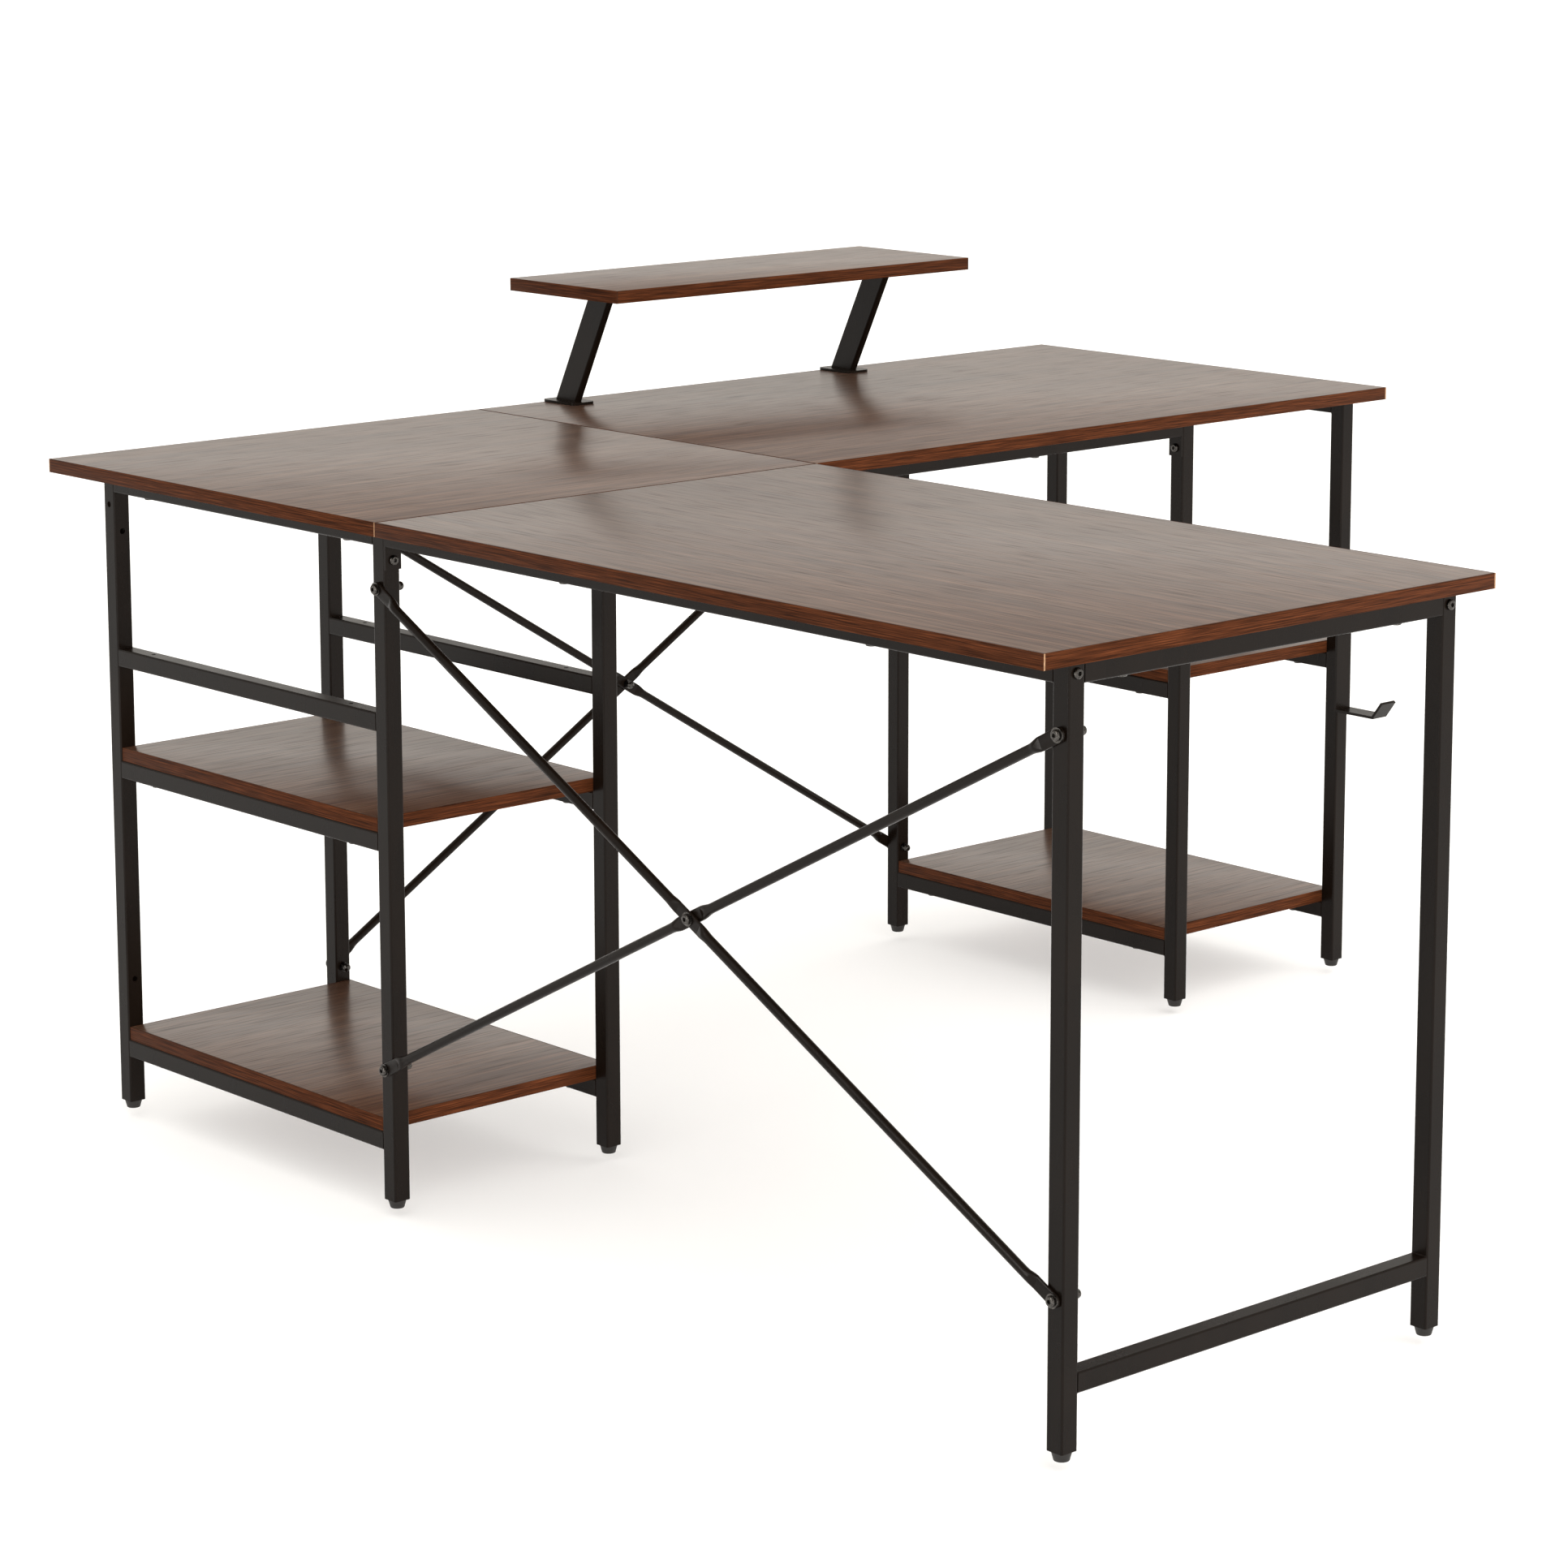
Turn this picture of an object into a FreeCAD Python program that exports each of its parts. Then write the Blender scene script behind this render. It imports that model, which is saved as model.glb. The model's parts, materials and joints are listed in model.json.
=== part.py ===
import FreeCAD, Part
import math
import os

# Corner desk with two shelf units, two cross braces, a raised monitor shelf and a bag hook.
# Millimetres. +X runs along the side wing, +Y along the main wing, +Z up, floor at Z = 0.
# The pieces are laid out from the floor below the outer corner of the corner top, where the two
# walls would meet, and then set about the origin: the middle of the desk's footprint, on the floor.

# ---- driving dimensions: whole desk
desk_height = 740.0
side_wing_reach = 1550.0      # outer corner to the free end of the side wing, along X
main_wing_reach = 1550.0      # outer corner to the free end of the main wing, along Y
main_depth = 600.0            # depth of the main wing and of the corner top, along X
side_depth = 600.0            # depth of the side wing and of the corner top, along Y
board_thickness = 15.0
board_gap = 0.5               # seam between neighbouring tops

# ---- driving dimensions: steel frame
tube = 20.0                   # outside of the square tube
tube_wall = 1.2
tube_corner = 2.0
back_overhang = 45.0          # top beyond the frames, wall side of the main wing
front_overhang = 40.0         # top beyond the frames, user side of the main wing
wall_overhang = 41.0          # top beyond the frames, wall side of the side wing
user_overhang = 44.0          # top beyond the frames, user side of the side wing
main_end_overhang = 14.0
side_end_overhang = 10.0
unit_length = 308.0           # outside length of one shelf unit, along Y
low_rail_top = 82.0
mid_rail_top = 403.0
spare_rail_top = 530.0
shelf_clearance = 1.0         # shelf board to the legs, and to the outer rail faces
plug_clearance = 0.1          # plug to the inside of the tube, per side

# ---- driving dimensions: feet
foot_height = 9.0
foot_top_diameter = 19.6
foot_bottom_diameter = 14.6
foot_travel = 10.0            # how far a foot screws out of its leg
foot_round = 1.0
stud_diameter = 8.0
stud_grip = 12.0              # stud left in its plug when the foot is right out
stud_clearance = 0.3
foot_plug_length = 14.0

# ---- driving dimensions: cross braces
brace_diameter = 10.0
brace_flat_width = 14.0
brace_flat_thickness = 3.5
brace_flat_length = 24.0      # bolt centre to the start of the neck
brace_neck_length = 16.0
brace_middle_flat = 34.0      # flat stretch where the two bars cross
neck_inset = 0.05
nearly_round = 0.01           # keeps a neck's round end an ellipse, so that its seam stays in line
brace_drop = 79.0             # upper brace bolts below the desk surface
side_brace_low = 151.0        # lower bolts of the side wing brace
main_brace_low = 114.0        # lower bolts of the main wing brace

# ---- driving dimensions: fasteners
bolt_diameter = 6.0
bolt_clearance = 0.3          # per side
head_diameter = 10.5
head_height = 3.3
socket_across = 4.0
socket_depth = 2.0
washer_diameter = 14.0
washer_thickness = 1.2
nut_across = 10.0
nut_height = 5.0
nut_play = 1.0                # bolt end beyond a welded nut
cap_height = 10.5
cap_hex_height = 4.0
cap_dome = 9.2                # diameter of a cap nut's dome
cap_round = 3.5
cap_roof = 2.0
screw_diameter = 4.0
screw_hole = 5.0
screw_head_diameter = 11.0
screw_head_height = 2.4
screw_tip = 0.8               # diameter of a wood screw at its point
cross_length = 5.2            # cross recess of a screw head
cross_width = 1.0
cross_depth = 0.6
head_round = 0.6              # rounding of a button or pan head, as a share of its height
screw_bite = 10.0             # depth of a wood screw in its board
pilot_clearance = 0.05        # per side
rail_hole_inset = 55.0        # end of a frame rail to its screw holes
long_rail_hole_inset = 240.0  # far end of a long rail to its screw holes
seam_hole_inset = 100.0       # seam between two tops to the screw holes beside it
tab_thickness = 2.5
tab_height = 44.0
tab_bolt_drop = 34.0          # tab bolt below the underside of the tops
end_plug_length = 12.0

# ---- driving dimensions: monitor shelf
shelf_top_rise = 152.0        # top of the monitor shelf above the desk surface
monitor_shelf_length = 570.0
monitor_shelf_depth = 200.0
monitor_shelf_back = -10.0    # back edge of the monitor shelf, along X
post_spacing = 450.0
stand_middle = 944.0          # middle of the monitor stand, along Y
post_base_middle = 25.0       # middle of the post at the desk surface, along X
post_width = 40.0
post_thickness = 10.0
post_corner = 3.0
flange_length = 60.0
flange_width = 36.0
flange_thickness = 3.0
flange_corner = 8.0
flange_hole_side = 12.0       # flange holes beside the post, along Y
flange_hole_along = 18.0      # upper flange holes from its middle, along X

# ---- driving dimensions: hook
hook_width = 19.0
hook_strip = 2.5
hook_top_gap = 2.0            # underside of the tops to the upper end of the hook
hook_drop = 97.0              # underside of the tops to the underside of the hook arm
hook_arm = 44.0
hook_lip_run = 11.0
hook_lip_rise = 15.0
hook_middle = 421.0           # middle of the hook strip, along Y

# ---- places worked out from the driving dimensions
under_top = desk_height - board_thickness
x_back = back_overhang
x_front = main_depth - front_overhang - tube
x_end = side_wing_reach - side_end_overhang - tube
y_wall = wall_overhang
y_inner = wall_overhang + unit_length - tube
y_end_outer = main_wing_reach - main_end_overhang - tube
y_end_inner = y_end_outer - unit_length + tube
y_user = side_depth - user_overhang - tube
half = tube / 2.0
rail_middle = under_top - half
brace_high = desk_height - brace_drop
tab_bolt_height = under_top - tab_bolt_drop
bolt_hole_radius = bolt_diameter / 2.0 + bolt_clearance
thread_radius = bolt_diameter / 2.0 + pilot_clearance
stud_length = foot_travel + stud_grip

x_lowest = min(0.0, monitor_shelf_back)
x_highest = max(side_wing_reach, x_end + hook_arm + hook_lip_run)
footprint_middle = FreeCAD.Vector((x_lowest + x_highest) / 2.0, main_wing_reach / 2.0, 0.0)

LEGS = {
    "corner_leg_wall": (x_back, y_wall),
    "corner_leg_front": (x_front, y_wall),
    "corner_leg_back": (x_back, y_inner),
    "corner_leg_inner": (x_front, y_inner),
    "end_leg_back_inner": (x_back, y_end_inner),
    "end_leg_front_inner": (x_front, y_end_inner),
    "end_leg_back_outer": (x_back, y_end_outer),
    "end_leg_front_outer": (x_front, y_end_outer),
    "side_leg_wall": (x_end, y_wall),
    "side_leg_user": (x_end, y_user),
}

SHELF_FRAMES = {
    "corner_outer": y_wall,
    "corner_inner": y_inner,
    "end_inner": y_end_inner,
    "end_outer": y_end_outer,
}

DIRECTIONS = {
    "x": FreeCAD.Vector(1, 0, 0),
    "y": FreeCAD.Vector(0, 1, 0),
    "z": FreeCAD.Vector(0, 0, 1),
}


def point(x, y, z):
    return FreeCAD.Vector(x, y, z)


def block(low, high):
    size = high - low
    return Part.makeBox(size.x, size.y, size.z, low)


def rod(middle, direction, radius, length):
    return Part.makeCylinder(radius, length, middle, direction)


def fuse(shapes):
    whole = shapes[0]
    for shape in shapes[1:]:
        whole = whole.fuse(shape)
    return whole.removeSplitter()


def cut(shape, tools):
    for tool in tools:
        shape = shape.cut(tool)
    return shape


def edges_along(shape, direction):
    """The straight edges of a block that lie along one direction."""
    found = []
    for edge in shape.Edges:
        run = edge.Vertexes[-1].Point - edge.Vertexes[0].Point
        if run.Length > 0 and run.cross(direction).Length < 1e-6 * run.Length:
            found.append(edge)
    return found


def rounded_block(low, high, direction, radius):
    """A block whose four edges along one direction are rounded."""
    shape = block(low, high)
    return shape.makeFillet(radius, edges_along(shape, direction))


def square_tube(low, axis, length):
    """A length of the square tube, from its lowest corner along one axis."""
    direction = DIRECTIONS[axis]
    across = point(tube, tube, tube) - direction * tube
    wall = point(tube_wall, tube_wall, tube_wall) - direction * tube_wall
    high = low + across + direction * length
    outer = rounded_block(low, high, direction, tube_corner)
    inner = rounded_block(low + wall, high - wall, direction, tube_corner - tube_wall)
    return outer.cut(inner)


def tube_plug(low, axis, length):
    """A solid plug that fits inside the square tube."""
    direction = DIRECTIONS[axis]
    gap = tube_wall + plug_clearance
    side = point(gap, gap, gap) - direction * gap
    across = point(tube, tube, tube) - direction * tube
    radius = tube_corner - tube_wall
    return rounded_block(low + side, low + across - side + direction * length, direction, radius)


def hexagon(middle, direction, across, height):
    """A hexagonal prism, standing on middle along direction."""
    corner = across / math.sqrt(3.0)
    side = point(0, 0, 1)
    if abs(direction.z) > 0.5:
        side = point(1, 0, 0)
    other = direction.cross(side)
    corners = []
    for step in range(6):
        angle = math.radians(60.0 * step)
        corners.append(middle + (side * math.cos(angle) + other * math.sin(angle)) * corner)
    face = Part.Face(Part.makePolygon(corners + corners[:1]))
    return face.extrude(direction * height)


# ---- fasteners

def socket_bolt(seat, direction, length):
    """A button head bolt: seat is under the head, direction points from the head to the tip."""
    head = rod(seat - direction * head_height, direction, head_diameter / 2.0, head_height)
    rim = [e for e in head.Edges if e.Closed and (e.CenterOfMass - seat).Length > head_height / 2.0]
    head = head.makeFillet(head_height * head_round, rim)
    socket = hexagon(seat - direction * head_height, direction, socket_across, socket_depth)
    return fuse([head.cut(socket), rod(seat, direction, bolt_diameter / 2.0, length)])


def washer(seat, direction):
    """A flat washer with its upper face at seat, thickness along direction."""
    ring = rod(seat, direction, washer_diameter / 2.0, washer_thickness)
    return ring.cut(rod(seat, direction, bolt_hole_radius, washer_thickness))


def cap_nut(seat, direction):
    """A domed nut that sits on seat and points along direction."""
    dome = rod(seat, direction, cap_dome / 2.0, cap_height)
    rim = [e for e in dome.Edges if e.Closed and (e.CenterOfMass - seat).Length > cap_height / 2.0]
    dome = dome.makeFillet(cap_round, rim)
    body = fuse([dome, hexagon(seat, direction, nut_across, cap_hex_height)])
    return body.cut(rod(seat, direction, thread_radius, cap_height - cap_roof))


def plain_nut(seat, direction):
    body = hexagon(seat, direction, nut_across, nut_height)
    return body.cut(rod(seat, direction, thread_radius, nut_height))


def wood_screw(seat, length):
    """A pan head screw driven upwards: seat is where its head bears."""
    up = DIRECTIONS["z"]
    head = rod(seat - up * screw_head_height, up, screw_head_diameter / 2.0, screw_head_height)
    rim = [e for e in head.Edges if e.Closed and e.CenterOfMass.z < seat.z - screw_head_height / 2.0]
    head = head.makeFillet(screw_head_height * head_round, rim)
    face = seat - up * screw_head_height
    reach = cross_length / 2.0
    side = cross_width / 2.0
    cross = [
        block(face + point(-reach, -side, 0), face + point(reach, side, cross_depth)),
        block(face + point(-side, -reach, 0), face + point(side, reach, cross_depth)),
    ]
    straight = length - screw_diameter
    shank = rod(seat, up, screw_diameter / 2.0, straight)
    tip = Part.makeCone(screw_diameter / 2.0, screw_tip / 2.0, screw_diameter, seat + up * straight)
    return fuse([cut(head, cross), shank, tip])


# ---- places of the screws and bolts

def frame_rail_holes(y):
    """Screw places along a shelf frame's rails, in plan."""
    middle = y + half
    return [
        (x_back + tube + rail_hole_inset, middle),
        (x_front - rail_hole_inset, middle),
    ]


def end_rail_holes():
    """Screw places along the side wing's end rail, in plan."""
    middle = x_end + half
    return [
        (middle, y_wall + tube + rail_hole_inset),
        (middle, y_user - rail_hole_inset),
    ]


def side_rail_holes(y):
    """Screw places along a side wing rail, in plan."""
    return [
        (main_depth + long_rail_hole_inset, y + half),
        (x_end - long_rail_hole_inset, y + half),
    ]


def corner_rail_hole(x):
    """Screw place of a main wing rail under the corner top, in plan."""
    return (x + half, side_depth - seam_hole_inset)


def main_rail_holes(x):
    """Screw places of a main wing rail under the main wing top, in plan."""
    return [
        (x + half, side_depth + seam_hole_inset),
        (x + half, y_end_inner - long_rail_hole_inset),
    ]


def corner_top_screws():
    found = frame_rail_holes(y_wall) + frame_rail_holes(y_inner)
    return found + [corner_rail_hole(x_back), corner_rail_hole(x_front)]


def main_top_screws():
    found = frame_rail_holes(y_end_inner) + frame_rail_holes(y_end_outer)
    return found + main_rail_holes(x_back) + main_rail_holes(x_front)


def side_top_screws():
    return side_rail_holes(y_wall) + side_rail_holes(y_user) + end_rail_holes()


def post_middles():
    return [stand_middle - post_spacing / 2.0, stand_middle + post_spacing / 2.0]


def post_top_middle():
    """Middle of a post where it meets the monitor shelf: it stands under the shelf's middle line."""
    return monitor_shelf_back + monitor_shelf_depth / 2.0


def base_bolt_places():
    found = []
    for y in post_middles():
        for side in (-flange_hole_side, flange_hole_side):
            found.append((post_base_middle, y + side))
    return found


def shelf_screw_places():
    found = []
    for y in post_middles():
        for side in (-flange_hole_side, flange_hole_side):
            for along in (-flange_hole_along, flange_hole_along):
                found.append((post_top_middle() + along, y + side))
    return found


# ---- boards

def board(low_x, low_y, low_z, size_x, size_y, pilots):
    """A board with blind pilot holes in its underside."""
    low = point(low_x, low_y, low_z)
    shape = block(low, low + point(size_x, size_y, board_thickness))
    radius = screw_diameter / 2.0 + pilot_clearance
    holes = [rod(point(x, y, low_z), DIRECTIONS["z"], radius, screw_bite) for x, y in pilots]
    return cut(shape, holes)


def make_corner_top():
    return board(0, 0, under_top, main_depth, side_depth, corner_top_screws())


def make_side_wing_top():
    start = main_depth + board_gap
    return board(start, 0, under_top, side_wing_reach - start, side_depth, side_top_screws())


def make_main_wing_top():
    start = side_depth + board_gap
    top = board(0, start, under_top, main_depth, main_wing_reach - start, main_top_screws())
    through = [
        rod(point(x, y, under_top), DIRECTIONS["z"], bolt_hole_radius, board_thickness)
        for x, y in base_bolt_places()
    ]
    return cut(top, through)


def make_shelf(y_low, rail_top):
    """A shelf board that lies on two frame rails, between the four legs."""
    low_x = x_back + tube + shelf_clearance
    low_y = y_low + shelf_clearance
    size_x = x_front - shelf_clearance - low_x
    size_y = unit_length - 2.0 * shelf_clearance
    pilots = frame_rail_holes(y_low) + frame_rail_holes(y_low + unit_length - tube)
    return board(low_x, low_y, rail_top, size_x, size_y, pilots)


def make_monitor_shelf():
    low_y = stand_middle - monitor_shelf_length / 2.0
    low_z = desk_height + shelf_top_rise - board_thickness
    return board(
        monitor_shelf_back, low_y, low_z, monitor_shelf_depth, monitor_shelf_length, shelf_screw_places()
    )


# ---- monitor posts

def flange(middle_x, middle_y, low_z):
    """A rounded flat plate at an end of a monitor post."""
    low = point(middle_x - flange_length / 2.0, middle_y - flange_width / 2.0, low_z)
    high = low + point(flange_length, flange_width, flange_thickness)
    return rounded_block(low, high, DIRECTIONS["z"], flange_corner)


def make_monitor_post(y):
    """A leaning flat post, welded to a flange at each end."""
    base_z = desk_height
    top_z = desk_height + shelf_top_rise - board_thickness - flange_thickness
    lean = post_top_middle() - post_base_middle
    low_z = base_z + flange_thickness
    low = point(post_base_middle - post_width / 2.0, y - post_thickness / 2.0, low_z)
    corners = [
        low,
        low + point(post_width, 0, 0),
        low + point(post_width + lean, 0, top_z - low_z),
        low + point(lean, 0, top_z - low_z),
    ]
    slab = Part.Face(Part.makePolygon(corners + corners[:1])).extrude(point(0, post_thickness, 0))
    slant = point(lean, 0, top_z - low_z)
    slab = slab.makeFillet(post_corner, edges_along(slab, slant))
    plates = [flange(post_base_middle, y, base_z), flange(post_top_middle(), y, top_z)]
    post = fuse([plates[0], slab, plates[1]])
    up = DIRECTIONS["z"]
    holes = []
    for side in (-flange_hole_side, flange_hole_side):
        foot = point(post_base_middle, y + side, base_z)
        holes.append(rod(foot, up, thread_radius, flange_thickness))
        for along in (-flange_hole_along, flange_hole_along):
            head = point(post_top_middle() + along, y + side, top_z)
            holes.append(rod(head, up, screw_hole / 2.0, flange_thickness))
    return cut(post, holes)


# ---- legs and frame rails

def make_leg(name):
    """A leg with the bolt holes that its place needs."""
    x, y = LEGS[name]
    shape = square_tube(point(x, y, foot_height), "z", under_top - foot_height)
    return cut(shape, [rod(*hole) for hole in leg_holes(name, x, y)])


def leg_holes(name, x, y):
    """Bolt holes of a leg, as rods: brace holes go through, tab holes go through one wall."""
    along_x = DIRECTIONS["x"]
    along_y = DIRECTIONS["y"]
    wall = tube_wall * 2.0
    holes = []
    if name in ("corner_leg_front", "side_leg_wall"):
        for z in (brace_high, side_brace_low):
            holes.append((point(x + half, y, z), along_y, bolt_hole_radius, tube))
    if name in ("corner_leg_back", "end_leg_back_inner"):
        for z in (brace_high, main_brace_low):
            holes.append((point(x, y + half, z), along_x, bolt_hole_radius, tube))
    if name == "corner_leg_wall":
        for z in (brace_high, side_brace_low):
            holes.append((point(x, y + half, z), along_x, bolt_hole_radius, tube))
        holes.append((point(x + half, y, tab_bolt_height), along_y, bolt_hole_radius, wall))
    if name == "corner_leg_front":
        seat = point(x + tube, y + half, tab_bolt_height)
        holes.append((seat, -along_x, bolt_hole_radius, wall))
    if name in ("corner_leg_back", "corner_leg_inner"):
        seat = point(x + half, y + tube, tab_bolt_height)
        holes.append((seat, -along_y, bolt_hole_radius, wall))
    if name in ("end_leg_back_inner", "end_leg_front_inner"):
        holes.append((point(x + half, y, tab_bolt_height), along_y, bolt_hole_radius, wall))
    if name in ("side_leg_wall", "side_leg_user"):
        holes.append((point(x, y + half, rail_middle), along_x, bolt_hole_radius, tube))
    return holes


def screw_holes(places, rail_top):
    """Screw holes straight down through a rail whose top is at rail_top."""
    return [
        rod(point(x, y, rail_top - tube), DIRECTIONS["z"], screw_hole / 2.0, tube) for x, y in places
    ]


def make_frame_rails(y):
    """The four rails that join the two legs of a shelf frame."""
    rails = []
    for rail_top in (low_rail_top, mid_rail_top, spare_rail_top, under_top):
        low = point(x_back + tube, y, rail_top - tube)
        rail = square_tube(low, "x", x_front - x_back - tube)
        rails.append(cut(rail, screw_holes(frame_rail_holes(y), rail_top)))
    return Part.makeCompound(rails)


def make_side_end_rail():
    low = point(x_end, y_wall + tube, under_top - tube)
    rail = square_tube(low, "y", y_user - y_wall - tube)
    seat = point(x_end, hook_middle, rail_middle)
    hook_hole = rod(seat, DIRECTIONS["x"], bolt_hole_radius, tube_wall * 2.0)
    return cut(rail, screw_holes(end_rail_holes(), under_top) + [hook_hole])


def make_side_end_stretcher():
    return square_tube(point(x_end, y_wall + tube, low_rail_top - tube), "y", y_user - y_wall - tube)


# ---- long rails under the tops

def rail_tab(seat, direction):
    """The bolt tab welded to a long rail's end: seat is the low corner of the leg face it lies on."""
    side = point(tube, tube, 0) - DIRECTIONS[direction.lower()] * tube
    sign = 1.0
    if direction.isupper():
        sign = -1.0
    reach = DIRECTIONS[direction.lower()] * (sign * tab_thickness)
    corner = seat - point(0, 0, tab_height)
    far = seat + side + reach
    low = point(min(corner.x, far.x), min(corner.y, far.y), corner.z)
    high = point(max(corner.x, far.x), max(corner.y, far.y), far.z)
    plate = block(low, high)
    middle = (low + high) * 0.5
    middle.z = tab_bolt_height
    start = middle - DIRECTIONS[direction.lower()] * tab_thickness
    return plate.cut(rod(start, DIRECTIONS[direction.lower()], bolt_hole_radius, 2.0 * tab_thickness))


def make_side_rail(y, with_tab):
    """A side wing rail. The wall side rail has a tab on the front corner leg."""
    start = x_front + tube
    first = start
    if with_tab:
        first = start + tab_thickness
    rail = square_tube(point(first, y, under_top - tube), "x", x_end - first)
    rail = cut(rail, screw_holes(side_rail_holes(y), under_top))
    if with_tab:
        rail = fuse([rail_tab(point(start, y, under_top), "x"), rail])
    return rail


def make_main_rail(x):
    """A main wing rail, with a tab on the leg at each end."""
    first = y_inner + tube + tab_thickness
    last = y_end_inner - tab_thickness
    rail = square_tube(point(x, first, under_top - tube), "y", last - first)
    rail = cut(rail, screw_holes([corner_rail_hole(x)] + main_rail_holes(x), under_top))
    if x == x_front:
        through = rod(
            point(x, y_user + half, rail_middle), DIRECTIONS["x"], bolt_hole_radius, tube
        )
        rail = rail.cut(through)
    near = rail_tab(point(x, y_inner + tube, under_top), "y")
    far = rail_tab(point(x, y_end_inner, under_top), "Y")
    return fuse([near, rail, far])


def end_plug(low, axis, length_sign):
    """A threaded plug welded in the end of a side rail."""
    direction = DIRECTIONS[axis]
    start = low
    if length_sign < 0:
        start = low - direction * end_plug_length
    plug = tube_plug(start, axis, end_plug_length)
    middle = start + (point(half, half, half) - direction * half)
    return plug.cut(rod(middle, direction, thread_radius, end_plug_length))


def make_rail_end_plugs():
    z = under_top - tube
    return Part.makeCompound([
        end_plug(point(x_end, y_wall, z), "x", -1),
        end_plug(point(x_end, y_user, z), "x", -1),
        end_plug(point(x_front + tube, y_user, z), "x", 1),
    ])


# ---- cross braces

def section(middle, width_way, width, depth_way, depth):
    """An elliptical section of a brace neck, at middle: width is the larger of the two."""
    major = middle + width_way * (width / 2.0)
    minor = middle + depth_way * (depth / 2.0)
    return Part.Wire([Part.Ellipse(major, minor, middle).toShape()])


def flat_strip(start, way, width_way, depth_way, length):
    """A flattened stretch of bar, from start along way."""
    half_width = brace_flat_width / 2.0
    low = start - width_way * half_width - depth_way * (brace_flat_thickness / 2.0)
    corners = [
        low,
        low + width_way * brace_flat_width,
        low + width_way * brace_flat_width + way * length,
        low + way * length,
    ]
    return Part.Face(Part.makePolygon(corners + corners[:1])).extrude(depth_way * brace_flat_thickness)


def flat_end(middle, way, width_way, depth_way, length):
    """A flat stretch with a round end about the bolt centre."""
    seat = middle - depth_way * (brace_flat_thickness / 2.0)
    disc = rod(seat, depth_way, brace_flat_width / 2.0, brace_flat_thickness)
    return disc.fuse(flat_strip(middle, way, width_way, depth_way, length))


def neck(start, end, way, width_way, depth_way):
    """The swage from a flat stretch at start to the round bar at end, let a little into both."""
    less = 2.0 * neck_inset
    flat = section(
        start - way * neck_inset,
        width_way,
        brace_flat_width - less,
        depth_way,
        brace_flat_thickness - less,
    )
    round_end = section(
        end + way * neck_inset,
        width_way,
        brace_diameter - less,
        depth_way,
        brace_diameter - less - nearly_round,
    )
    return Part.makeLoft([flat, round_end], True, True)


def make_brace_bar(start, end, outward, offset):
    """A round bar, flattened and drilled at both ends and at its middle.

    start and end are the bolt centres in the middle plane of the end flats. offset sets the
    bar off along outward, so that it passes the other bar of its cross flat on flat.
    """
    along = (end - start).normalize()
    width_way = outward.cross(along)
    shift = outward * offset
    run = (end - start).Length
    middle = start + along * (run / 2.0) + shift
    half_flat = brace_middle_flat / 2.0
    shapes = [flat_strip(middle - along * half_flat, along, width_way, outward, brace_middle_flat)]
    reach = brace_flat_length + brace_neck_length
    mid_reach = half_flat + brace_neck_length
    for centre, way in ((start, along), (end, along * -1.0)):
        out = way * -1.0
        shapes.append(flat_end(centre, way, width_way, outward, brace_flat_length))
        flat_stop = centre + way * brace_flat_length
        bar_start = centre + way * reach + shift
        shapes.append(neck(flat_stop, bar_start, way, width_way, outward))
        shapes.append(rod(bar_start, way, brace_diameter / 2.0, run / 2.0 - reach - mid_reach))
        shapes.append(neck(middle + out * half_flat, middle + out * mid_reach, out, width_way, outward))
    bar = fuse(shapes)
    depth = brace_flat_thickness + 2.0 * abs(offset)
    holes = [
        rod(centre - outward * depth, outward, bolt_hole_radius, 2.0 * depth)
        for centre in (start, end, middle)
    ]
    return cut(bar, holes)


def side_brace_bolts():
    """Bolt centres of the side wing brace on the wall faces of its two legs."""
    y = y_wall - brace_flat_thickness / 2.0
    x_low = x_front + half
    x_high = x_end + half
    return [
        (point(x_low, y, brace_high), point(x_high, y, side_brace_low)),
        (point(x_low, y, side_brace_low), point(x_high, y, brace_high)),
    ]


def main_brace_bolts():
    """Bolt centres of the main wing brace on the wall faces of its two legs."""
    x = x_back - brace_flat_thickness / 2.0
    y_low = y_inner + half
    y_high = y_end_inner + half
    return [
        (point(x, y_low, brace_high), point(x, y_high, main_brace_low)),
        (point(x, y_low, main_brace_low), point(x, y_high, brace_high)),
    ]


def make_braces():
    """The four bars: the first of each cross is nearer to the viewer outside the wall side."""
    made = {}
    offset = brace_flat_thickness / 2.0
    out_side = -DIRECTIONS["y"]
    out_main = -DIRECTIONS["x"]
    first, second = side_brace_bolts()
    made["side_brace_falling"] = make_brace_bar(first[0], first[1], out_side, offset)
    made["side_brace_rising"] = make_brace_bar(second[0], second[1], out_side, -offset)
    first, second = main_brace_bolts()
    made["main_brace_falling"] = make_brace_bar(first[0], first[1], out_main, -offset)
    made["main_brace_rising"] = make_brace_bar(second[0], second[1], out_main, offset)
    return made


def brace_fixings():
    """Each brace bolt's outer seat, its direction and how much material it clamps."""
    found = []
    grip_leg = brace_flat_thickness + tube
    grip_cross = 2.0 * brace_flat_thickness
    for pairs, inward in ((side_brace_bolts(), DIRECTIONS["y"]), (main_brace_bolts(), DIRECTIONS["x"])):
        out = inward * -1.0
        for start, end in pairs:
            for centre in (start, end):
                found.append((centre + out * (brace_flat_thickness / 2.0), inward, grip_leg))
        cross = (pairs[0][0] + pairs[0][1]) * 0.5
        found.append((cross + out * brace_flat_thickness, inward, grip_cross))
    return found


def make_brace_bolts():
    bolts = []
    for seat, inward, grip in brace_fixings():
        length = washer_thickness + grip + nut_height
        bolts.append(socket_bolt(seat - inward * washer_thickness, inward, length))
    return Part.makeCompound(bolts)


def make_brace_washers():
    found = [washer(seat - inward * washer_thickness, inward) for seat, inward, grip in brace_fixings()]
    return Part.makeCompound(found)


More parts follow.
